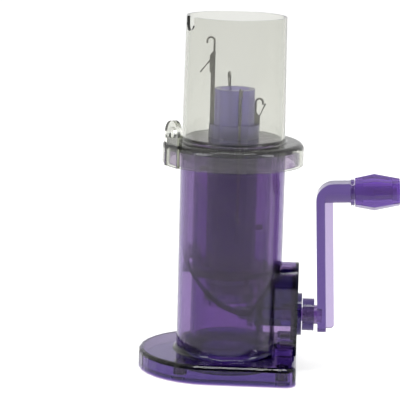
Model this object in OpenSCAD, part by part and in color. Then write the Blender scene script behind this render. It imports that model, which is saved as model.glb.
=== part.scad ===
// A hand-cranked machine that knits a round cord on four latch needles.
// The origin is on the body's axis at the underside of the base. Z is up, the crank is
// on the +X side and the front faces -Y. Sizes are in millimetres.

/* [Cover] */
// Height of the clear cover's rim above the table
total_h = 160; // [160:1:192]
// Wall of the clear tube
tube_wall = 1.4; // [1:0.1:1.6]
// How much the clear tube narrows in radius from foot to rim
tube_taper = 0.8; // [0:0.1:1.5]
// Height of the collar's lower edge
collar_z = 94.7; // [94:0.1:100]
// Height of the collar
collar_h = 9.7; // [8:0.1:12]
// Reach of the collar past the body tube
collar_reach = 8.1; // [6.5:0.1:10]
// Wall of the collar's skirt
collar_wall = 1.6; // [1.2:0.1:2.2]
// Thickness of the collar's roof
collar_roof = 1.8; // [1.4:0.1:2.4]
// Rounding of the collar's top edge
collar_edge = 3; // [2:0.1:4]
// Width of the yarn notch in the rim
notch_w = 8; // [5:0.5:10]
// Depth of the yarn notch
notch_depth = 6.2; // [5:0.1:9]
// Bearing of the yarn notch, anticlockwise from +X
notch_az = 204; // [190:1:220]
// Width of the yarn eyelet's lug
eyelet_w = 10.8; // [9:0.1:12]
// Thickness of the yarn eyelet's lug
eyelet_t = 2.6; // [2.2:0.1:3]
// Diameter of the yarn eyelet's hole
eyelet_hole_d = 5; // [3:0.1:6]
// Bearing of the yarn eyelet, anticlockwise from +X
eyelet_az = 214.5; // [205:0.5:225]

/* [Body] */
// Outer diameter of the body tube
body_d = 47; // [46:0.5:57]
// Wall of the body tube
body_wall = 1.8; // [1.4:0.1:2.2]
// Fillet at the foot of the body tube
foot_fillet = 2; // [1:0.1:3]
// Margin of the base in front of and behind the tube
base_margin = 9.5; // [9:0.1:14]
// Margin of the base on the side away from the crank
base_tail = 17.1; // [14:0.1:24]
// Height of the base
base_h = 8.8; // [8.4:0.1:11]
// Outer wall of the base
base_wall = 2.2; // [1.6:0.1:2.8]
// Roof of the base
base_roof = 2.4; // [1.8:0.1:2.8]
// Rounding of the base's top edge
base_edge = 1.8; // [1:0.1:2]
// Radius of the base's two corners beside the crank
base_corner = 5; // [4:0.1:8]
// Thickness of the bottom plate
bottom_t = 2.4; // [2:0.1:3]
// Diameter of the hole the knitted cord leaves by
outlet_d = 24; // [18:0.5:30]
// Height of the bottom plate's ring inside the tube
spigot_h = 10.9; // [6:0.1:12]

/* [Gear box] */
// Width of the gear box
box_w = 22; // [21:0.5:26.5]
// Height of the gear box's round top
box_top = 49.5; // [48:0.5:56]
// Wall of the gear box
box_wall = 1.6; // [1.2:0.1:2]
// Reach of the gear box past the body tube
box_reach = 6.2; // [5.5:0.1:8]
// Thickness of the side cover
cover_t = 1.4; // [1.2:0.1:2]
// Thickness of the plate that carries the needle barrel
bearing_t = 3; // [2.4:0.1:4]

/* [Crank] */
// Height of the crank's axis
crank_z = 25.7; // [25:0.1:31]
// Diameter of the crank shaft
shaft_d = 6.2; // [5.4:0.1:6.8]
// Diameter of the disc on the crank's bush
bush_disc_d = 19.1; // [15:0.1:21]
// Thickness of the disc on the crank's bush
bush_disc_t = 1.9; // [1.4:0.1:2.4]
// Diameter of the crank's hub
hub_d = 14.6; // [12:0.1:18]
// Length of the crank's hub
hub_len = 5.3; // [4:0.1:8]
// Diameter of the neck between hub and arm
neck_d = 8.6; // [8.2:0.1:10]
// Distance from the crank's axis to the knob's axis
arm_throw = 56.2; // [50:0.1:68]
// Angle at which the arm leans in towards the body
arm_lean = 2.5; // [0:0.1:3]
// Diameter of the knob's spindle, and width of the arm
spindle_d = 9.3; // [8.8:0.1:11]
// Length of the spindle up to the washer, with the arm's bend
spindle_len = 15.4; // [14:0.1:19]
// Thickness of the arm's flange
flange_t = 3.9; // [3:0.1:4.6]
// Depth of the rib down the arm
rib_depth = 3.7; // [2:0.1:5]
// Thickness of the rib
rib_t = 3; // [2:0.1:4]
// Diameter of the washer beside the knob
washer_d = 11.7; // [11:0.1:13]
// Thickness of the washer beside the knob
washer_t = 1.7; // [1:0.1:2.5]
// Length of the knob
knob_len = 19.9; // [16:0.1:24]
// Diameter of the knob across its middle
knob_d = 16.6; // [14:0.1:20]
// Diameter of the knob's end beside the arm
knob_near_d = 13.1; // [12.6:0.1:15]
// Diameter of the knob's free end
knob_far_d = 12.2; // [11.8:0.1:14]
// Depth of the hollows in the knob's ends
knob_recess = 3.6; // [2.6:0.1:4.5]

/* [Knitting head] */
// Outer diameter of the needle barrel
barrel_d = 18; // [17:0.1:21.6]
// Bore of the needle barrel
barrel_bore_d = 13.2; // [11:0.1:14]
// Depth of the barrel's top below the clear rim
barrel_drop = 32.2; // [30:0.1:32.2]
// Diameter of the barrel over its grooved part
rib_d = 22.5; // [22.4:0.1:27]
// Wall of the inner sleeve
sleeve_wall = 1.55; // [1.2:0.05:1.8]
// Height of the bead along the inner sleeve's lower rim
bead_h = 2.4; // [1.5:0.1:4]
// Wall of the cam ring
cam_wall = 2; // [1.4:0.1:2.4]
// Wall of the tube that the cam ring is moulded in
cam_shell = 1.2; // [0.8:0.1:1.3]
// Thickness of a needle
needle_t = 1; // [0.9:0.05:1.2]
// Length of a latch from its rivet to its tip
latch_len = 7.6; // [7.4:0.1:7.8]

/* [Hidden] */
$fn = 96;

// Fits: a turning shaft, a part that drops into place, faces that pass each other.
run_gap = 0.06;
seat_gap = 0.1;
face_gap = 0.3;

violet = [0.36, 0.24, 0.56];
dark_violet = [0.23, 0.15, 0.38];
lilac = [0.56, 0.54, 0.66];
smoke = [0.52, 0.53, 0.50];
clear = [0.80, 0.81, 0.77, 0.45];
steel = [0.70, 0.70, 0.72];

// Body tube, collar and clear tube.
body_r = body_d / 2;
bore_r = body_r - body_wall;
collar_top = collar_z + collar_h;
body_top = collar_top - collar_roof;
collar_r = body_r + collar_reach;
tube_foot_r = body_r - 0.4;
tube_fillet = 1.4;
skirt_in = collar_r - collar_wall;
flange_wall = 1.6;
eyelet_out_r = collar_r + 0.9;
eyelet_mid_z = collar_top + 5.4;
function tube_r(z) = tube_foot_r - tube_taper * (z - body_top) / (total_h - body_top);

// Base: a round end on the left, a square end under the crank.
base_r = body_r + base_margin;
base_mid_x = base_r - body_r - base_tail;
box_x = body_r + box_reach;
cover_face_x = box_x + cover_t;
base_right = cover_face_x + 0.2;
base_screw_r = 1.3;
base_head_r = 2.7;
base_boss_r = 3;
base_screw_z = base_h - 2.8;
base_screw_places = [
    [base_mid_x - 12.4, base_r - 11.5],
    [base_mid_x - 12.4, 11.5 - base_r],
    [base_right - 6.3, base_r - 7],
    [base_right - 6.3, 7 - base_r]
];

// Gear box: an arch seen from the side, closed by the side cover.
box_mid_z = box_top - box_w / 2;
box_in = box_w / 2 - box_wall;
side_screw_r = 1.1;
side_head_r = 2;
side_boss_r = 2.2;
side_boss_x = box_x - 7.2;
side_screw_y = box_in - 1.6;
side_screw_z = base_h + 4.5;

// Crank.
shaft_r = shaft_d / 2;
bush_r = 5.2;
bush_in_x = box_x - 5.7;
hub_x = cover_face_x + bush_disc_t + face_gap;
hub_end_x = hub_x + hub_len;
arm_x = hub_end_x + 1.47;
shaft_tip_x = 3.8;
shaft_end_x = arm_x + 2.1;
spindle_r = spindle_d / 2;
bend_r = 8;
arm_foot = 6.9;
rib_foot = 6;
rib_corner = 1.8;
core_r = 3.2;
knob_x = spindle_len + washer_t + face_gap;
core_end_x = knob_x + knob_len - knob_recess + face_gap;
knob_belly = 0.43 * knob_len;
knob_screw_r = 1.4;
knob_screw_in = 8;

// Pinion under the crown gear.
pinion_teeth = 9;
crown_teeth = 16;
crown_pitch_r = 9.7;
pinion_r = crown_pitch_r * pinion_teeth / crown_teeth;
pinion_w = 2.4;
tooth_tip = 1;
tooth_root = 1.35;
tooth_face = 3.5;
mesh_z = crank_z + pinion_r;
crown_z = mesh_z + tooth_root;
crown_t = 3.5;
crown_r = crown_pitch_r + 1.9;
crown_hub_h = 4;

// Needle barrel and the plate that carries it.
barrel_r = barrel_d / 2;
bore_in_r = barrel_bore_d / 2;
barrel_z = crown_z + crown_t;
barrel_top = total_h - barrel_drop;
bearing_z = barrel_z + crown_hub_h + 4.5;
bearing_top = bearing_z + bearing_t;
barrel_flange_z = bearing_top + face_gap;
needle_in = barrel_r + 0.3;
shank_out = needle_in + 1.8;
rib_r = max(rib_d / 2, shank_out + 0.1);
floor_z = collar_top - 0.2;
floor_t = 2;
rib_top = floor_z + floor_t + 5.8;

// Inner sleeve. Its lower rim is a V: a curve on the left, a straight flank on the right.
sleeve_r = bore_r - 0.2;
sleeve_in = sleeve_r - sleeve_wall;
bead_in = sleeve_in - 1.25;
rim_left = [-sleeve_r - 0.5, crank_z + 30.3];
rim_bend = [-10, crank_z + 5];
rim_low = [9.6, crank_z + 2.9];
rim_end_x = bore_r + 2.3;
rim_slope = 1.468;

// Cam ring. Its height follows the cosine of the angle from its highest point.
plate_r = bead_in - seat_gap;
cam_r = plate_r - 1.3;
cam_in = cam_r - cam_wall;
cam_az = 185;
cam_z = bearing_top + 20.3;
cam_steps = 16;

// Needles, by bearing. X is out from the barrel's axis and Z is down from the hook's top.
az_right = 15;
az_back = 105;
az_left = 195;
az_front = 285;
needle_len = barrel_top - cam_z;
blade_out = needle_in + 2.4;
foot_out = cam_in - 0.4;
foot_h = 2.4;
hook_r = 2.1;
hook_wire = 0.95;
hook_drop = 3.3;
rivet_x = needle_in + 1.6;
rivet_z = 9.9;
rivet_r = 0.3;
latch_t = 0.4;
latch_shut = 25;
latch_open = 140.7;

function cam_lift(c) = 3.7 + 14 * c + 6.1 * c * c;
function needle_top(az) = barrel_top + cam_lift(cos(az - cam_az));
function bezier(a, b, c, t) = (1 - t) * (1 - t) * a + 2 * t * (1 - t) * b + t * t * c;
function arc(mid, r, from, to) =
    [for (i = [0 : 12]) let (a = from + (to - from) * i / 12) mid + r * [cos(a), sin(a)]];

// ---- Shared shapes ----

module tube(r_out, r_in, z_from, z_to) {
    translate([0, 0, z_from])
        difference() {
            cylinder(r = r_out, h = z_to - z_from);
            translate([0, 0, -1]) cylinder(r = r_in, h = z_to - z_from + 2);
        }
}

// A profile of Y and Z, drawn out along X.
module along_x(x_from, x_to) {
    translate([x_from, 0, 0]) rotate([90, 0, 90]) linear_extrude(x_to - x_from) children();
}

// A profile of X and Z, drawn out along Y about the middle.
module along_y(width) {
    translate([0, width / 2, 0]) rotate([90, 0, 0]) linear_extrude(width) children();
}

// A round bar along X.
module bar(r, x_from, x_to) {
    translate([x_from, 0, 0]) rotate([0, 90, 0]) cylinder(r = r, h = x_to - x_from);
}

module base_outline(inset) {
    half = base_r - inset;
    translate([base_mid_x, 0]) circle(r = half);
    translate([base_mid_x, -half]) square([base_right - base_corner - base_mid_x, 2 * half]);
    translate([base_mid_x, base_corner - base_r])
        square([base_right - inset - base_mid_x, 2 * (base_r - base_corner)]);
    for (side = [-1, 1])
        translate([base_right - base_corner, side * (base_r - base_corner)])
            circle(r = base_corner - inset);
}

module box_profile(inset, foot_z) {
    half = box_w / 2 - inset;
    translate([0, box_mid_z]) circle(r = half);
    translate([-half, foot_z]) square([2 * half, box_mid_z - foot_z]);
}

module side_bars(r, x_from, x_to) {
    for (side = [-1, 1])
        translate([0, side * side_screw_y, side_screw_z]) bar(r, x_from, x_to);
}

// The arm's own frame: it leans in by arm_lean about the point where arm and axis meet.
module arm_frame() {
    translate([arm_x, 0, crank_z]) rotate([0, -arm_lean, 0]) children();
}

module needle_frame(az) {
    rotate([0, 0, az]) translate([0, 0, needle_top(az)]) children();
}

// ---- Body ----

module base_block() {
    $fn = 32;
    hull() {
        linear_extrude(base_h - base_edge) base_outline(0);
        for (a = [30, 60, 90])
            linear_extrude(base_h - base_edge + base_edge * sin(a))
                base_outline(base_edge * (1 - cos(a)));
    }
}

module foot_ring() {
    rotate_extrude()
        difference() {
            translate([body_r - 1, base_h - 1]) square(foot_fillet + 1);
            translate([body_r + foot_fillet, base_h + foot_fillet]) circle(r = foot_fillet);
        }
}

// The cover's collar caps this hollow ring round the tube's top.
module top_flange() {
    out_r = skirt_in - 0.15;
    foot_z = collar_z + 0.6;
    difference() {
        tube(out_r, body_r - 1, foot_z, body_top);
        tube(out_r - flange_wall, body_r, foot_z - 1, body_top - flange_wall);
    }
}

module body_shell() {
    color(violet)
        difference() {
            union() {
                difference() {
                    base_block();
                    translate([0, 0, -1])
                        linear_extrude(base_h - base_roof + 1) base_outline(base_wall);
                }
                translate([0, 0, bottom_t]) cylinder(r = body_r, h = body_top - bottom_t);
                foot_ring();
                top_flange();
                along_x(body_r - 8, box_x) box_profile(0, bottom_t);
                for (p = base_screw_places)
                    translate([p[0], p[1], bottom_t])
                        cylinder(r = base_boss_r, h = base_h - base_roof + 0.5 - bottom_t);
            }
            translate([0, 0, -1]) cylinder(r = bore_r, h = total_h);
            difference() {
                union() {
                    along_x(0, box_x - 0.5) box_profile(box_wall, -1);
                    along_x(box_x - 1, box_x + 1) box_profile(box_wall, base_h);
                }
                side_bars(side_boss_r, side_boss_x, box_x);
            }
            side_bars(side_screw_r, side_boss_x + 1, box_x + 1);
            for (p = base_screw_places)
                translate([p[0], p[1], -1]) cylinder(r = base_screw_r, h = base_screw_z + 1.2);
        }
}

module bottom_plate() {
    color(dark_violet)
        difference() {
            union() {
                linear_extrude(bottom_t) base_outline(base_wall + seat_gap);
                translate([0, 0, bottom_t - 0.5])
                    cylinder(r = bore_r - seat_gap, h = spigot_h + 0.5);
            }
            translate([0, 0, -1]) cylinder(r = outlet_d / 2, h = spigot_h);
            translate([0, 0, bottom_t]) cylinder(r = bore_r - 2.1, h = spigot_h + 1);
            for (p = base_screw_places)
                translate([p[0], p[1], -1]) {
                    cylinder(r = base_head_r + 0.2, h = bottom_t + 0.2);
                    cylinder(r = base_screw_r + 0.2, h = bottom_t + 2);
                }
        }
}

module base_screws() {
    head_z = bottom_t - 0.8;
    color(steel)
        for (p = base_screw_places)
            translate([p[0], p[1], 0])
                difference() {
                    union() {
                        translate([0, 0, 0.2]) cylinder(r = base_head_r, h = head_z - 0.2);
                        translate([0, 0, 0.2]) cylinder(r = base_screw_r, h = base_screw_z - 0.2);
                    }
                    translate([-1.7, -0.35, -1]) cube([3.4, 0.7, 1.9]);
                    translate([-0.35, -1.7, -1]) cube([0.7, 3.4, 1.9]);
                }
}

module side_cover() {
    color(violet)
        difference() {
            along_x(box_x, cover_face_x) box_profile(0, base_h + seat_gap);
            translate([0, 0, crank_z]) bar(bush_r + 0.05, box_x - 1, cover_face_x + 1);
            side_bars(side_screw_r + 0.1, box_x - 1, cover_face_x + 1);
            for (side = [-1, 1])
                translate([cover_face_x - 1.1, side * side_screw_y, side_screw_z])
                    rotate([0, 90, 0]) cylinder(r1 = side_screw_r + 0.1, r2 = side_head_r + 0.1, h = 1.1);
        }
}

module cover_screws() {
    color(steel)
        for (side = [-1, 1])
            translate([0, side * side_screw_y, side_screw_z])
                difference() {
                    union() {
                        bar(side_screw_r, side_boss_x + 1.2, cover_face_x);
                        translate([cover_face_x - 1.1, 0, 0])
                            rotate([0, 90, 0]) cylinder(r1 = side_screw_r, r2 = side_head_r, h = 1.1);
                    }
                    translate([cover_face_x - 0.6, -1.2, -0.25]) cube([2, 2.4, 0.5]);
                    translate([cover_face_x - 0.6, -0.25, -1.2]) cube([2, 0.5, 2.4]);
                }
}

// ---- Inside the body ----

module shaft_bush() {
    color(dark_violet)
        translate([0, 0, crank_z])
            difference() {
                union() {
                    bar(bush_r, bush_in_x, cover_face_x + 1);
                    bar(bush_disc_d / 2, cover_face_x, cover_face_x + bush_disc_t);
                }
                bar(shaft_r + run_gap, bush_in_x - 1, cover_face_x + 10);
            }
}

// The block carries the shaft beside the pinion. Its top slopes up under the sleeve's rim.
module bearing_block() {
    low_z = crank_z - shaft_r - 1.6;
    nose_x = crown_pitch_r + pinion_w / 2 + 0.4;
    nose_z = mesh_z - tooth_tip - 0.7;
    step_x = crown_r + 0.6;
    top = [body_r + 0.5, box_top - 2.7];
    color(dark_violet)
        difference() {
            intersection() {
                union() {
                    along_y(9)
                        polygon([
                            [nose_x, low_z], [nose_x, nose_z], [step_x, nose_z], [step_x, crown_z + 0.2],
                            top, [box_x, top[1]], [box_x, low_z]
                        ]);
                    along_y(14)
                        polygon([
                            [step_x, crown_z - 2.2], [step_x, crown_z + 0.2], top, [box_x, top[1]],
                            [box_x, top[1] - 2.2], [top[0] + 0.8, top[1] - 2.2]
                        ]);
                    along_x(box_x - 1.5, box_x) box_profile(box_wall, base_h + 7);
                }
                along_x(0, box_x) box_profile(box_wall + 0.3, base_h + 7);
            }
            translate([0, 0, crank_z]) bar(shaft_r + run_gap, nose_x - 1, box_x + 1);
            translate([0, 0, crank_z]) bar(bush_r + 0.05, bush_in_x - 0.1, box_x + 1);
        }
}

// The guard tube stands on the bottom plate and carries the bearing plate, with a window for the block.
module guard_tube() {
    color(violet)
        difference() {
            tube(cam_r, cam_in, bottom_t, bearing_z);
            translate([0, -7.5, base_h + 5.2]) cube([body_r, 15, bearing_z - base_h - 8]);
        }
}

module bearing_plate() {
    color(violet)
        difference() {
            union() {
                translate([0, 0, bearing_z]) cylinder(r = plate_r, h = bearing_t);
                intersection() {
                    translate([0, 0, bearing_z]) cylinder(r = sleeve_in - 0.05, h = bearing_t);
                    translate([-4, -body_r, bearing_z]) cube([8, body_d, bearing_t]);
                }
                intersection() {
                    translate([0, 0, bearing_z]) cylinder(r = bore_r - 0.05, h = bearing_t);
                    translate([-body_r, -3.5, bearing_z]) cube([body_r - barrel_r - 1, 7, bearing_t]);
                }
            }
            translate([0, 0, bearing_z - 1]) cylinder(r = barrel_r + run_gap, h = bearing_t + 2);
        }
}

// The area below the sleeve's rim, raised by lift.
module below_rim(lift) {
    flank = [for (i = [0 : 10]) bezier(rim_left, rim_bend, rim_low, i / 10) + [0, lift]];
    right = [rim_end_x, rim_low[1] + (rim_end_x - rim_low[0]) * rim_slope + lift];
    polygon(concat([[rim_left[0], 0]], flank, [right, [rim_end_x, 0]]));
}

module inner_sleeve() {
    color(smoke)
        difference() {
            union() {
                tube(sleeve_r, sleeve_in, rim_low[1] - 1, floor_z);
                intersection() {
                    tube(sleeve_in + 0.4, bead_in, rim_low[1] - 1, rim_left[1] + 4);
                    along_y(body_d) below_rim(bead_h);
                }
            }
            along_y(body_d) below_rim(0);
        }
}

// The cam is a sloping rim inside a tube that reaches up to the floor ring.
module cam_ring() {
    reach = cam_r + 1;
    wave = [
        for (i = [0 : cam_steps])
            let (c = -1 + 2 * i / cam_steps) [c * reach, cam_z + cam_lift(c)]
    ];
    color(violet) {
        tube(cam_r, cam_r - cam_shell, bearing_top, floor_z - seat_gap);
        intersection() {
            tube(cam_r, cam_in, bearing_top, floor_z);
            rotate([0, 0, cam_az])
                along_y(2 * reach)
                    polygon(concat([[-reach, bearing_top - 1]], wave, [[reach, bearing_top - 1]]));
        }
    }
}

module floor_ring() {
    color(smoke) tube(sleeve_r, rib_r + 0.07, floor_z, floor_z + floor_t);
}

// ---- Clear cover ----

module collar_profile() {
    difference() {
        union() {
            translate([tube_foot_r - 1, collar_z]) square([collar_r - tube_foot_r + 1, collar_h - collar_edge]);
            translate([tube_foot_r - 1, collar_z + 1])
                square([collar_r - collar_edge - tube_foot_r + 1, collar_h - 1]);
            translate([collar_r - collar_edge, collar_top - collar_edge]) circle(r = collar_edge);
            difference() {
                translate([tube_foot_r - 1, collar_top - 1]) square(tube_fillet + 1);
                translate([tube_foot_r + tube_fillet, collar_top + tube_fillet])
                    circle(r = tube_fillet);
            }
        }
        translate([0, collar_z - 1]) square([skirt_in, body_top - collar_z + 1]);
    }
}

module eyelet() {
    eyelet_r = eyelet_w / 2;
    difference() {
        along_x(eyelet_out_r - eyelet_t, eyelet_out_r) {
            translate([-eyelet_r, collar_z]) square([eyelet_w, eyelet_mid_z - collar_z]);
            translate([0, eyelet_mid_z]) circle(r = eyelet_r);
        }
        translate([0, 0, eyelet_mid_z + 0.2])
            bar(eyelet_hole_d / 2, eyelet_out_r - eyelet_t - 1, eyelet_out_r + 1);
    }
}

module top_cover() {
    cut_from = body_top - 1;
    cut_to = total_h + 1;
    color(clear)
        difference() {
            union() {
                rotate_extrude() collar_profile();
                translate([0, 0, collar_top - 1])
                    cylinder(r1 = tube_r(collar_top - 1), r2 = tube_r(total_h), h = total_h - collar_top + 1);
                rotate([0, 0, eyelet_az]) eyelet();
            }
            translate([0, 0, cut_from])
                cylinder(
                    r1 = tube_r(cut_from) - tube_wall,
                    r2 = tube_r(cut_to) - tube_wall,
                    h = cut_to - cut_from
                );
            rotate([0, 0, notch_az])
                translate([0, 0, total_h - notch_depth + notch_w / 2]) {
                    bar(notch_w / 2, body_r - 8, body_r + 2);
                    translate([body_r - 8, -notch_w / 2, 0]) cube([10, notch_w, notch_depth]);
                }
        }
}

// ---- Needle barrel and gears ----

module needle_barrel() {
    slot_w = needle_t + 0.2;
    slot_z = cam_z + cam_lift(-1) - 3.6;
    color(lilac)
        difference() {
            union() {
                translate([0, 0, barrel_z]) cylinder(r = barrel_r, h = barrel_top - barrel_z);
                translate([0, 0, barrel_flange_z]) cylinder(r = rib_r, h = rib_top - barrel_flange_z);
                translate([0, 0, barrel_flange_z]) cylinder(r = rib_r + 1.75, h = 2);
            }
            translate([0, 0, barrel_z - 1]) cylinder(r = bore_in_r, h = barrel_top - barrel_z + 2);
            for (az = [az_right, az_back, az_left, az_front])
                rotate([0, 0, az])
                    translate([needle_in - 0.1, -slot_w / 2, slot_z]) cube([5, slot_w, rib_top]);
        }
}

module crown_gear() {
    color(violet)
        difference() {
            union() {
                translate([0, 0, crown_z]) cylinder(r = crown_r, h = crown_t);
                translate([0, 0, crown_z + 1])
                    cylinder(r = barrel_r + 1.6, h = crown_t - 1 + crown_hub_h);
                for (i = [0 : crown_teeth - 1])
                    rotate([0, 0, i * 360 / crown_teeth])
                        translate([crown_pitch_r - tooth_face / 2, -0.5, mesh_z - tooth_tip])
                            cube([tooth_face, 1, tooth_tip + tooth_root + 0.5]);
            }
            translate([0, 0, crown_z - 1]) cylinder(r = bore_in_r, h = 20);
            translate([0, 0, barrel_z]) cylinder(r = barrel_r, h = 20);
        }
}

// ---- Crank ----

module crank_shaft() {
    color(dark_violet)
        translate([0, 0, crank_z]) {
            translate([shaft_tip_x, 0, 0])
                rotate([0, 90, 0]) cylinder(r1 = shaft_r - 1.2, r2 = shaft_r, h = 1.2);
            bar(shaft_r, shaft_tip_x + 1.2, shaft_end_x);
        }
}

module pinion() {
    root = pinion_r - tooth_root;
    tip = pinion_r + tooth_tip;
    color(violet)
        translate([crown_pitch_r, 0, crank_z])
            difference() {
                union() {
                    bar(root, -pinion_w / 2, pinion_w / 2);
                    for (i = [0 : pinion_teeth - 1])
                        rotate([(i + 0.5) * 360 / pinion_teeth, 0, 0])
                            along_x(-pinion_w / 2, pinion_w / 2)
                                polygon([[-0.8, root - 0.5], [0.8, root - 0.5], [0.4, tip], [-0.4, tip]]);
                }
                bar(shaft_r, -pinion_w, pinion_w);
            }
}

module crank_hub() {
    color(violet)
        translate([0, 0, crank_z])
            difference() {
                bar(hub_d / 2, hub_x, hub_end_x);
                bar(shaft_r, hub_x - 1, hub_end_x + 1);
            }
}

// The arm's side view: upright flange, round bend, then the spindle's direction.
module arm_side(t) {
    bend_z = arm_throw + spindle_r - bend_r;
    difference() {
        union() {
            translate([bend_r, bend_z]) circle(r = bend_r);
            translate([0, -arm_foot]) square([bend_r, bend_z + arm_foot]);
            translate([bend_r, bend_z]) square([spindle_len - bend_r, bend_r]);
        }
        translate([bend_r, bend_z]) circle(r = bend_r - t);
        translate([t, -arm_foot - 1]) square([spindle_len, bend_z + arm_foot + 1]);
        translate([bend_r, bend_z - 1]) square([spindle_len, bend_r - t + 1]);
    }
}

module arm_body() {
    bend_z = arm_throw + spindle_r - bend_r;
    along_y(spindle_d) arm_side(flange_t);
    intersection() {
        translate([0, 0, arm_throw]) bar(spindle_r, 0, spindle_len);
        along_y(spindle_d + 1) {
            translate([bend_r, bend_z]) circle(r = bend_r);
            translate([bend_r, bend_z - bend_r]) square([spindle_len, 2 * bend_r]);
        }
    }
    translate([0, 0, arm_throw]) bar(core_r, spindle_len - 1, core_end_x);
    along_y(rib_t) {
        translate([flange_t - 0.5, rib_corner - rib_foot])
            square([rib_depth + 0.5, arm_throw + rib_foot - rib_corner]);
        translate([flange_t - 0.5, -rib_foot])
            square([rib_depth + 0.5 - rib_corner, 2 * rib_corner]);
        translate([flange_t + rib_depth - rib_corner, rib_corner - rib_foot]) circle(r = rib_corner);
    }
}

module crank_arm() {
    color(violet)
        difference() {
            union() {
                arm_frame() arm_body();
                translate([0, 0, crank_z]) bar(neck_d / 2, hub_end_x, arm_x + 1);
            }
            translate([0, 0, crank_z]) bar(shaft_r, hub_end_x - 1, shaft_end_x);
            arm_frame()
                translate([0, 0, arm_throw])
                    bar(knob_screw_r, core_end_x - knob_screw_in - 0.5, core_end_x + 1);
        }
}

module knob_washer() {
    color(violet)
        arm_frame()
            translate([0, 0, arm_throw])
                difference() {
                    bar(washer_d / 2, spindle_len, spindle_len + washer_t);
                    bar(core_r, spindle_len - 1, spindle_len + washer_t + 1);
                }
}

module knob() {
    color(violet)
        arm_frame()
            translate([knob_x, 0, arm_throw])
                difference() {
                    rotate([0, 90, 0]) {
                        cylinder(r1 = knob_near_d / 2, r2 = knob_d / 2, h = knob_belly, $fn = 8);
                        translate([0, 0, knob_belly])
                            cylinder(
                                r1 = knob_d / 2, r2 = knob_far_d / 2, h = knob_len - knob_belly, $fn = 8
                            );
                    }
                    bar(core_r + run_gap, -1, knob_len + 1);
                    bar(knob_near_d / 2 - 1.35, -1, knob_recess);
                    bar(knob_far_d / 2 - 1.2, knob_len - knob_recess, knob_len + 1);
                }
}

module knob_screw() {
    color(steel)
        arm_frame()
            translate([core_end_x, 0, arm_throw])
                difference() {
                    union() {
                        bar(4, 0, 2);
                        bar(knob_screw_r, -knob_screw_in, 1);
                    }
                    translate([1.1, -2.2, -0.4]) cube([2, 4.4, 0.8]);
                    translate([1.1, -0.4, -2.2]) cube([2, 0.8, 4.4]);
                }
}

// ---- Needles ----

module needle(az) {
    hook = [needle_in + hook_r, -hook_r];
    neck = needle_in + hook_wire;
    color(steel)
        needle_frame(az)
            difference() {
                along_y(needle_t)
                    polygon(concat(
                        arc(hook, hook_r, 180, 0),
                        [[hook[0] + hook_r, -hook_drop], [hook[0] + hook_r - hook_wire, -hook_drop]],
                        arc(hook, hook_r - hook_wire, 0, 180),
                        [
                            [neck, -6.6], [blade_out, -8.6], [blade_out, -15.9], [shank_out, -16.5],
                            [shank_out, foot_h - needle_len], [foot_out, foot_h - needle_len],
                            [foot_out, -needle_len], [needle_in, -needle_len]
                        ]
                    ));
                translate([rivet_x - 0.8, -0.25, -13]) cube([5, 0.5, 5]);
                translate([rivet_x, 0, -rivet_z])
                    rotate([90, 0, 0]) cylinder(r = rivet_r, h = 3, center = true, $fn = 24);
            }
}

// turn is the latch's angle from straight up.
module latch(az, turn) {
    color(steel)
        needle_frame(az)
            translate([rivet_x, 0, -rivet_z])
                rotate([0, turn, 0])
                    difference() {
                        along_y(latch_t) {
                            circle(r = 0.62, $fn = 32);
                            translate([-0.3, 0]) square([0.6, latch_len]);
                            translate([0, latch_len]) circle(r = 0.4, $fn = 32);
                        }
                        rotate([90, 0, 0])
                            cylinder(r = rivet_r + 0.05, h = 3, center = true, $fn = 24);
                    }
}

module rivet(az) {
    color(steel)
        needle_frame(az)
            translate([rivet_x, 0, -rivet_z])
                rotate([90, 0, 0]) cylinder(r = rivet_r, h = needle_t, center = true, $fn = 24);
}

body_shell();
bottom_plate();
base_screws();
side_cover();
cover_screws();
shaft_bush();
bearing_block();
guard_tube();
bearing_plate();
inner_sleeve();
cam_ring();
floor_ring();
top_cover();
needle_barrel();
crown_gear();
crank_shaft();
pinion();
crank_hub();
crank_arm();
knob_washer();
knob();
knob_screw();
needle(az_left);  // needle_left
needle(az_back);  // needle_back
needle(az_right);  // needle_right
needle(az_front);  // needle_front
latch(az_left, latch_open);  // latch_left
latch(az_back, latch_shut);  // latch_back
latch(az_right, latch_shut);  // latch_right
latch(az_front, latch_shut);  // latch_front
rivet(az_left);  // rivet_left
rivet(az_back);  // rivet_back
rivet(az_right);  // rivet_right
rivet(az_front);  // rivet_front
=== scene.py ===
# A hand-cranked cord knitting machine in translucent violet plastic with a clear cover.
import math

import bmesh
import bpy
from mathutils import Matrix, Vector


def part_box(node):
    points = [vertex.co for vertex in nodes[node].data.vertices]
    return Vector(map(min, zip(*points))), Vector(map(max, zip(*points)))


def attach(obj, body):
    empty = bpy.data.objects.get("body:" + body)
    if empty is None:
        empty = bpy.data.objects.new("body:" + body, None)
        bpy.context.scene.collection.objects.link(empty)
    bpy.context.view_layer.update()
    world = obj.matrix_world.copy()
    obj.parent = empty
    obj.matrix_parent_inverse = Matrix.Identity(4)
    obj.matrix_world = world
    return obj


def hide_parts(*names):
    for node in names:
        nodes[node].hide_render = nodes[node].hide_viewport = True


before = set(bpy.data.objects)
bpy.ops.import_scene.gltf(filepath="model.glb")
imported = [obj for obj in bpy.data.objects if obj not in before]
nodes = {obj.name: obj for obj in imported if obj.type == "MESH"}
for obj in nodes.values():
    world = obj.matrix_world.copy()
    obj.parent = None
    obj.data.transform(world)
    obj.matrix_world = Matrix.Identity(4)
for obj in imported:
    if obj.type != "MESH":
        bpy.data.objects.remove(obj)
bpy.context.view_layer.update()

scene = bpy.context.scene


# ---- Camera ----
# A long lens looks slightly down on the machine from the front. Light passes through many walls
# of clear plastic, so a ray may bend many times.

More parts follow.
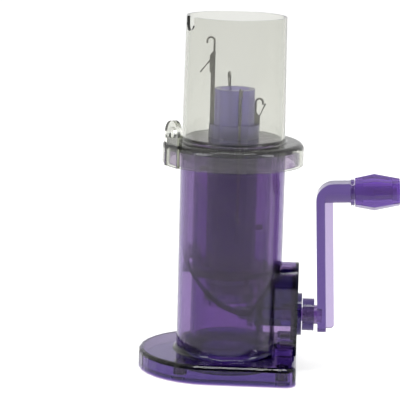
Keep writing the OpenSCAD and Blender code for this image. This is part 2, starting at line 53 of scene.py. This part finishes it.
ahead = Vector((-0.04486, 0.98048, -0.19143)).normalized()
level = ahead.cross(Vector((0, 0, 1))).normalized()
roll = math.radians(1.438)
right = level * math.cos(roll) + level.cross(ahead) * math.sin(roll)
above = right.cross(ahead)
eye = Vector((0.02574, -0.87515, 0.24762))
ray_bends = 48
lens = bpy.data.cameras.new("camera")
lens.lens = 178.8
lens.sensor_width = 36
lens.clip_start = 0.05
lens.clip_end = 50
camera = bpy.data.objects.new("camera", lens)
scene.collection.objects.link(camera)
camera.matrix_world = Matrix((
    (right.x, above.x, -ahead.x, eye.x),
    (right.y, above.y, -ahead.y, eye.y),
    (right.z, above.z, -ahead.z, eye.z),
    (0, 0, 0, 1),
))
scene.camera = camera
scene.view_settings.view_transform = "Standard"
scene.cycles.max_bounces = ray_bends
scene.cycles.transmission_bounces = ray_bends
scene.cycles.transparent_max_bounces = ray_bends


# ---- Floor ----
# White paper that lies flat and sweeps up behind. It glows a little, less towards the front, so
# that it loses its horizon and most of its shadow.

def colour(code):
    """An sRGB hex code as a linear colour with full alpha."""
    parts = [int(code[i:i + 2], 16) / 255 for i in (1, 3, 5)]
    return [p / 12.92 if p <= 0.04045 else ((p + 0.055) / 1.055) ** 2.4 for p in parts] + [1]


def add(tree, kind, settings=None, links=None):
    """Adds a node. A setting is an input's value, or else one of the node's own properties."""
    node = tree.nodes.new(kind)
    for key, value in (settings or {}).items():
        if key in node.inputs:
            node.inputs[key].default_value = value
        else:
            setattr(node, key, value)
    for key, socket in (links or {}).items():
        tree.links.new(socket, node.inputs[key])
    return node


sweep_half = 6.0
sweep_r = 1.5
sweep_y = 1.2
sweep_rise = 5
sweep = bmesh.new()
bmesh.ops.create_grid(sweep, x_segments=1, y_segments=1, size=sweep_half)
bmesh.ops.translate(sweep, verts=sweep.verts, vec=(0, sweep_y - sweep_half, 0))
edge = [e for e in sweep.edges if all(v.co.y > sweep_y - 0.001 for v in e.verts)]
turned = bmesh.ops.spin(
    sweep, geom=edge, cent=(0, sweep_y, sweep_r), axis=(1, 0, 0), angle=math.radians(90), steps=12
)["geom_last"]
edge = [g for g in turned if isinstance(g, bmesh.types.BMEdge)]
risen = bmesh.ops.extrude_edge_only(sweep, edges=edge)["geom"]
top = [g for g in risen if isinstance(g, bmesh.types.BMVert)]
bmesh.ops.translate(sweep, verts=top, vec=(0, 0, sweep_rise))
bmesh.ops.recalc_face_normals(sweep, faces=sweep.faces)
floor_mesh = bpy.data.meshes.new("floor")
sweep.to_mesh(floor_mesh)
sweep.free()
floor_mesh.shade_smooth()
floor = bpy.data.objects.new("floor", floor_mesh)
scene.collection.objects.link(floor)

paper = bpy.data.materials.new("white_paper_sweep")
paper.use_nodes = True
paper_shader = paper.node_tree.nodes["Principled BSDF"]
paper_shader.inputs["Base Color"].default_value = colour("#bebebe")
paper_shader.inputs["Roughness"].default_value = 0.9
paper_shader.inputs["Emission Color"].default_value = (1, 1, 1, 1)
at = add(paper.node_tree, "ShaderNodeTexCoord")
depth_in = add(paper.node_tree, "ShaderNodeSeparateXYZ", {}, {"Vector": at.outputs["Object"]})
lit = add(paper.node_tree, "ShaderNodeMapRange",
          {"From Min": -0.5, "From Max": -0.06, "To Min": 0.2, "To Max": 0.62},
          {"Value": depth_in.outputs["Y"]})
paper.node_tree.links.new(lit.outputs["Result"], paper_shader.inputs["Emission Strength"])
floor_mesh.materials.append(paper)


# ---- Light ----
# A white room that is dark on the -Y side, so that the plastic's face keeps its colour, with three
# soft boxes that draw the highlights along its edges.

sky = bpy.data.worlds.new("studio")
sky.use_nodes = True
sky.node_tree.nodes.clear()
way = add(sky.node_tree, "ShaderNodeTexCoord")
facing = add(sky.node_tree, "ShaderNodeSeparateXYZ", {}, {"Vector": way.outputs["Generated"]})
fall = add(sky.node_tree, "ShaderNodeMapRange",
           {"From Min": -0.9, "From Max": 0.1, "To Min": 0.1, "To Max": 1.0},
           {"Value": facing.outputs["Y"]})
glow = add(sky.node_tree, "ShaderNodeBackground", {"Color": (1, 1, 1, 1)},
           {"Strength": fall.outputs["Result"]})
add(sky.node_tree, "ShaderNodeOutputWorld", {}, {"Surface": glow.outputs["Background"]})
scene.world = sky


def soft_box(name, at, towards, size, power):
    """A rectangular light of a size (m) and a power (W) that faces a point."""
    light = bpy.data.lights.new(name, "AREA")
    light.shape = "RECTANGLE"
    light.size, light.size_y = size
    light.energy = power
    made = bpy.data.objects.new(name, light)
    made.location = at
    made.rotation_euler = (Vector(towards) - Vector(at)).to_track_quat("-Z", "Y").to_euler()
    scene.collection.objects.link(made)


soft_box("left_box", (-0.9, -0.7, 0.7), (0, 0, 0.08), (0.5, 1.0), 7)
soft_box("right_box", (1.0, -0.5, 0.6), (0, 0, 0.08), (0.35, 0.9), 5)
soft_box("top_box", (0.0, -0.23, 1.2), (0, 0, 0), (0.9, 0.3), 6)


# ---- Body ----
# The body shell and the gear box's side cover: styrene, injection moulded and tinted violet in the
# mass. It is pale where it is thin and nearly black where light crosses many walls.

def plastic(name, base, through, depth, clear=1.0, rough=0.06, bump=0.05, specular=0.5, ior=1.42):
    """A moulded plastic, in which light takes on the colour through on its way.

    A small depth (m) makes that tint strong, and clear is the share of light that gets in. The ior
    is below styrene's 1.59, which keeps rounded edges lighter. The mould's flow left faint waves
    about 22 mm long.
    """
    material = bpy.data.materials.new(name)
    material.use_nodes = True
    tree = material.node_tree
    tree.nodes.clear()
    place = add(tree, "ShaderNodeTexCoord")
    flow = add(tree, "ShaderNodeTexNoise", {"Scale": 45.0, "Detail": 2.0},
               {"Vector": place.outputs["Object"]})
    wave = add(tree, "ShaderNodeBump", {"Strength": bump, "Distance": 0.001},
               {"Height": flow.outputs["Fac"]})
    haze = add(tree, "ShaderNodeMapRange", {"To Min": rough * 0.7, "To Max": rough * 1.5},
               {"Value": flow.outputs["Fac"]})
    shader = add(tree, "ShaderNodeBsdfPrincipled",
                 {"Base Color": colour(base), "IOR": ior, "Transmission Weight": clear,
                  "Specular IOR Level": specular},
                 {"Roughness": haze.outputs["Result"], "Normal": wave.outputs["Normal"]})
    absorbs = add(tree, "ShaderNodeVolumeAbsorption", {"Color": colour(through), "Density": 1 / depth})
    add(tree, "ShaderNodeOutputMaterial", {},
        {"Surface": shader.outputs["BSDF"], "Volume": absorbs.outputs["Volume"]})
    return material


def dress(name, material):
    """Gives a CAD node its material."""
    data = nodes[name].data
    data.materials.clear()
    data.materials.append(material)


violet = plastic("violet_styrene", "#faf5f2", "#9c6ecb", 0.0019, specular=0.2)
for name in ("body_shell", "side_cover"):
    dress(name, violet)


# ---- Inside the body ----
# The guard tube, its plate and cam, the gears and the shaft take a deeper violet, which is painted
# shade for the shade inside the body. The block that carries the shaft and the bottom plate are the
# darkest, with the most painted shade.

# Painted shade: a darker copy of the violet for the parts inside the body.
shaded_inner_violet = plastic("violet_styrene_painted_inner_shade", "#faeefa", "#aa6cd2", 0.0022, rough=0.08,
                       specular=0.1)
for name in ("guard_tube", "bearing_plate", "cam_ring", "crown_gear", "pinion", "crank_shaft"):
    dress(name, shaded_inner_violet)

# Painted shade: the darkest copy of the violet, for the shaft's block and the bottom plate.
deep_shade_violet = plastic("violet_styrene_painted_deepest_shade", "#d6b2f4", "#6a45c0", 0.0018, rough=0.12, specular=0.05)
for name in ("bearing_block", "bottom_plate"):
    dress(name, deep_shade_violet)


# ---- Sleeve and floor ring ----
# Faintly smoked styrene. The sleeve's lower rim is a V with a bead, which looks like a dark
# slanted line through the body; that line is painted shade, a dark colour painted on the bead.

dress("floor_ring", plastic("smoke_styrene", "#f4f2f5", "#b8b0bc", 0.005))
# Painted shade: the bead along this sleeve's rim gets a dark colour below.
smoke = plastic("smoke_styrene_painted_rim_shade", "#f4f1f6", "#cdc2d4", 0.012, specular=0.15)
dress("inner_sleeve", smoke)

# In metres: where the rim's left side starts, the point that bends it, and where the V is lowest.
rim_x, rim_bend_x, rim_low_x = -0.022, -0.010, 0.0096
rim_z, rim_bend_z, rim_low_z = 0.0560, 0.0307, 0.0286
flank_slope = 1.468
bead_h = 0.0024


def sum_of(tree, kind, first, second):
    """Joins two values, each a socket or a number, by one kind of sum."""
    node = add(tree, "ShaderNodeMath", {"operation": kind})
    for socket, value in zip(node.inputs, (first, second)):
        if isinstance(value, (int, float)):
            socket.default_value = value
        else:
            tree.links.new(value, socket)
    return node.outputs["Value"]


# The rim's left side is a curve of one bend: step is how far along it a point lies, from 0 to 1.
tree = smoke.node_tree
spot = add(tree, "ShaderNodeTexCoord")
along = add(tree, "ShaderNodeSeparateXYZ", {}, {"Vector": spot.outputs["Object"]})
x_a, x_b = rim_x - 2 * rim_bend_x + rim_low_x, 2 * (rim_bend_x - rim_x)
z_a, z_b = rim_z - 2 * rim_bend_z + rim_low_z, 2 * (rim_bend_z - rim_z)
under = sum_of(tree, "MULTIPLY", sum_of(tree, "SUBTRACT", along.outputs["X"], rim_x), 4 * x_a)
root = sum_of(tree, "POWER", sum_of(tree, "MAXIMUM", sum_of(tree, "ADD", under, x_b * x_b), 0.0), 0.5)
step = sum_of(tree, "DIVIDE", sum_of(tree, "SUBTRACT", root, x_b), 2 * x_a)
bent = sum_of(tree, "MULTIPLY", sum_of(tree, "ADD", sum_of(tree, "MULTIPLY", step, z_a), z_b), step)
left_rim = sum_of(tree, "ADD", bent, rim_z)
flank = sum_of(tree, "MULTIPLY", sum_of(tree, "SUBTRACT", along.outputs["X"], rim_low_x), flank_slope)
right_rim = sum_of(tree, "ADD", flank, rim_low_z)
past_low = sum_of(tree, "GREATER_THAN", along.outputs["X"], rim_low_x)
rim = sum_of(tree, "ADD", sum_of(tree, "MULTIPLY", left_rim, sum_of(tree, "SUBTRACT", 1.0, past_low)),
             sum_of(tree, "MULTIPLY", right_rim, past_low))
lift = sum_of(tree, "SUBTRACT", along.outputs["Z"], rim)
shade_band = add(tree, "ShaderNodeMapRange", {"From Min": bead_h * 0.8, "From Max": bead_h * 1.2},
           {"Value": lift})
# Inputs 6 and 7 and output 2 of a Mix node are its two colours and their mix.
tint = add(tree, "ShaderNodeMix", {"data_type": "RGBA"})
tree.links.new(shade_band.outputs["Result"], tint.inputs[0])
# The first colour is painted shade on the bead; the second is the sleeve's own faint smoke.
tint.inputs[6].default_value = colour("#463458")
tint.inputs[7].default_value = colour("#f4f1f6")
shader = next(n for n in tree.nodes if n.bl_idname == "ShaderNodeBsdfPrincipled")
tree.links.new(tint.outputs[2], shader.inputs["Base Color"])


# ---- Cover ----
# A clear tube with a collar, moulded in one piece with its yarn eyelet. Styrene with a faint olive
# smoke and a trace of milkiness, glossy from a polished mould.

clear_smoke = plastic("clear_smoke_styrene", "#f6f6f4", "#c9cbbf", 0.004, clear=0.975, rough=0.03,
                      bump=0.03, specular=1.0, ior=1.36)
dress("top_cover", clear_smoke)


# ---- Needle barrel ----
# The grooved barrel that the needles slide in, on top of the crown gear. Its lilac styrene is
# milky, so light spreads in it and what is behind is hard to see.

lilac = plastic("milky_lilac_styrene", "#d4cdf4", "#a89fd4", 0.006, clear=0.75, rough=0.18)
dress("needle_barrel", lilac)


# ---- Crank ----
# Hub, bush, arm and washer, moulded thick in the violet. The knob's mould was finely etched, so
# its surface is satin.

crank_violet = plastic("violet_styrene_polished", "#f5f3f1", "#9668c8", 0.0029, specular=0.35)
for name in ("shaft_bush", "crank_hub", "crank_arm", "knob_washer"):
    dress(name, crank_violet)
satin_violet = plastic("violet_styrene_satin", "#966ecc", "#966ecb", 0.0092, clear=0.8, rough=0.16,
                       specular=0.35)
dress("knob", satin_violet)


# ---- Screws ----
# Four in the base, two in the side cover and one in the knob's end: self-tapping steel screws with
# a bright zinc plating.

def metal(name, base, rough, grain):
    """A bare metal. Its fine marks are about 0.4 mm across, and grain stretches them along Z."""
    material = bpy.data.materials.new(name)
    material.use_nodes = True
    tree = material.node_tree
    tree.nodes.clear()
    place = add(tree, "ShaderNodeTexCoord")
    drawn = add(tree, "ShaderNodeMapping", {"Scale": (900, 900, 900 / grain)},
                {"Vector": place.outputs["Object"]})
    scratch = add(tree, "ShaderNodeTexNoise", {"Scale": 3.0, "Detail": 3.0},
                  {"Vector": drawn.outputs["Vector"]})
    worn = add(tree, "ShaderNodeMapRange", {"To Min": rough * 0.7, "To Max": rough * 1.5},
               {"Value": scratch.outputs["Fac"]})
    shader = add(tree, "ShaderNodeBsdfPrincipled", {"Base Color": colour(base), "Metallic": 1.0},
                 {"Roughness": worn.outputs["Result"]})
    add(tree, "ShaderNodeOutputMaterial", {}, {"Surface": shader.outputs["BSDF"]})
    return material


zinc = metal("zinc_plated_steel", "#b9b9bd", 0.3, 1)
for name in ("base_screws", "cover_screws", "knob_screw"):
    dress(name, zinc)


# ---- Needles ----
# Stamped steel, 1 mm thick: a round wire hook on a flat blade that is slotted for the latch,
# and a long shank with a foot. Drawing leaves fine scratches along the shank.

def of_kind(made, kind):
    """The parts of an operator's result that are of one kind, such as its vertices."""
    return [g for g in made if isinstance(g, kind)]


def slab(bm, outline, low, high, edge=0.0):
    """A flat plate from an outline of (X, Z), between two values of Y, all in mm.

    edge rounds its edges by that much.
    """
    face = bm.faces.new([bm.verts.new((x / 1000, low / 1000, z / 1000)) for x, z in outline])
    made = bmesh.ops.extrude_face_region(bm, geom=[face], use_keep_orig=True)["geom"]
    bmesh.ops.translate(bm, verts=of_kind(made, bmesh.types.BMVert), vec=(0, (high - low) / 1000, 0))
    if edge:
        rims = dict.fromkeys([*face.edges, *of_kind(made, bmesh.types.BMEdge)])
        bmesh.ops.bevel(bm, geom=list(rims), offset=edge / 1000, segments=2, profile=0.5, material=-1,
                        affect="EDGES")


def piece(name, bm, material, body, place, stands_for, smooth=35):
    """Makes a new piece from bm, rides it on a CAD body and hides the CAD node it stands for."""
    bmesh.ops.holes_fill(bm, edges=[e for e in bm.edges if e.is_boundary], sides=0)
    bmesh.ops.transform(bm, matrix=place, verts=bm.verts)
    bmesh.ops.recalc_face_normals(bm, faces=bm.faces)
    mesh = bpy.data.meshes.new(name)
    bm.to_mesh(mesh)
    bm.free()
    mesh.materials.append(material)
    mesh.shade_smooth()
    mesh.set_sharp_from_angle(angle=math.radians(smooth))
    made = bpy.data.objects.new(name, mesh)
    scene.collection.objects.link(made)
    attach(made, body)
    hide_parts(stands_for)


def grow(bm, ring, move, shrink=1.0):
    """Extends a ring of edges by move (mm), narrowing it by shrink, and returns its new end."""
    made = bmesh.ops.extrude_edge_only(bm, edges=ring)["geom"]
    verts = of_kind(made, bmesh.types.BMVert)
    bmesh.ops.translate(bm, verts=verts, vec=Vector(move) / 1000)
    middle = sum((v.co for v in verts), Vector()) / len(verts)
    bmesh.ops.scale(bm, verts=verts, vec=(shrink, shrink, shrink), space=Matrix.Translation(-middle))
    return [e for e in of_kind(made, bmesh.types.BMEdge) if all(v in verts for v in e.verts)]


steel = metal("drawn_needle_steel", "#8d8b86", 0.28, 30)
bearings = {"left": 195, "back": 105, "right": 15, "front": 285}  # degrees round the barrel
# In mm: X runs out from the barrel's axis, and Z is 0 at the needle's top.
wire_r = 0.475
hook_r = 1.625
hook_mid = (11.4, -2.1)
wire_end_z = -7.4
back_x, neck_x, shank_x, cheek_x, foot_x = 9.3, 10.25, 11.1, 11.7, 14.9
blade_top_z, blade_low_z = -6.7, -15.9
slot_x, slot_low_z = 10.1, -13.0
foot_h = 2.4
core_y, cheek_y = 0.25, 0.5
for side, bearing in bearings.items():
    low_z, top_z = (corner[2] * 1000 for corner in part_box("needle_" + side))
    foot_z = low_z - top_z
    place = Matrix.Rotation(math.radians(bearing), 4, "Z") @ Matrix.Translation((0, 0, top_z / 1000))
    shank = [(cheek_x, blade_low_z), (shank_x, blade_low_z - 0.6), (shank_x, foot_z + foot_h),
             (foot_x, foot_z + foot_h), (foot_x, foot_z), (back_x, foot_z)]
    cheek = [(back_x, blade_top_z), (neck_x, blade_top_z), (cheek_x, blade_top_z - 2)] + shank
    core = [(back_x, blade_top_z), (neck_x, blade_top_z), (10.3, -8.0), (slot_x, -8.2),
            (slot_x, slot_low_z), (cheek_x, slot_low_z)] + shank
    layers = ((cheek, -cheek_y, -core_y), (core, -core_y, core_y), (cheek, core_y, cheek_y))
    bm = bmesh.new()
    for outline, low, high in layers:
        slab(bm, outline, low, high)
    neck = Matrix.Translation(((hook_mid[0] - hook_r) / 1000, 0, wire_end_z / 1000))
    verts = bmesh.ops.create_circle(bm, segments=16, radius=wire_r / 1000, matrix=neck)["verts"]
    ring = [e for e in bm.edges if all(v in verts for v in e.verts)]
    ring = grow(bm, ring, (0, 0, hook_mid[1] - wire_end_z))
    turned = bmesh.ops.spin(
        bm, geom=ring, cent=(hook_mid[0] / 1000, 0, hook_mid[1] / 1000), axis=(0, 1, 0),
        angle=math.radians(180), steps=14
    )["geom_last"]
    ring = of_kind(turned, bmesh.types.BMEdge)
    for drop, shrink in ((0.6, 0.95), (0.4, 0.93), (0.15, 0.6), (0.05, 0.4)):
        ring = grow(bm, ring, (0, 0, -drop), shrink)
    piece("needle_wire_" + side, bm, steel, "needle_" + side, place, "needle_" + side)


# ---- Latches and rivets ----
# Each latch is a thin steel arm on a rivet, necked in the middle, with a spoon at its tip that
# closes over the hook's point. The left needle is up, so its latch has fallen open.

# In mm: a distance along the arm from its rivet, and half the arm's width there.
half = [(-0.62, 0.1), (-0.45, 0.42), (0.0, 0.6), (1.2, 0.3), (4.0, 0.22), (6.0, 0.24), (6.9, 0.34),
        (7.5, 0.39), (7.85, 0.28), (7.98, 0.08)]
latch_outline = [(w, z) for z, w in half] + [(-w, z) for z, w in half[::-1]]
arm_y = 0.2
rivet_x, rivet_drop = 0.0109, 0.0099  # metres out from the barrel's axis and below the needle's top
fallen, closed = 140.7, 25
for side, bearing in bearings.items():
    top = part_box("needle_" + side)[1][2]
    place = (
        Matrix.Rotation(math.radians(bearing), 4, "Z")
        @ Matrix.Translation((rivet_x, 0, top - rivet_drop))
        @ Matrix.Rotation(math.radians(fallen if side == "left" else closed), 4, "Y")
    )
    bm = bmesh.new()
    slab(bm, latch_outline, -arm_y, arm_y, edge=0.06)
    piece("latch_arm_" + side, bm, steel, "latch_" + side, place, "latch_" + side)
    dress("rivet_" + side, steel)
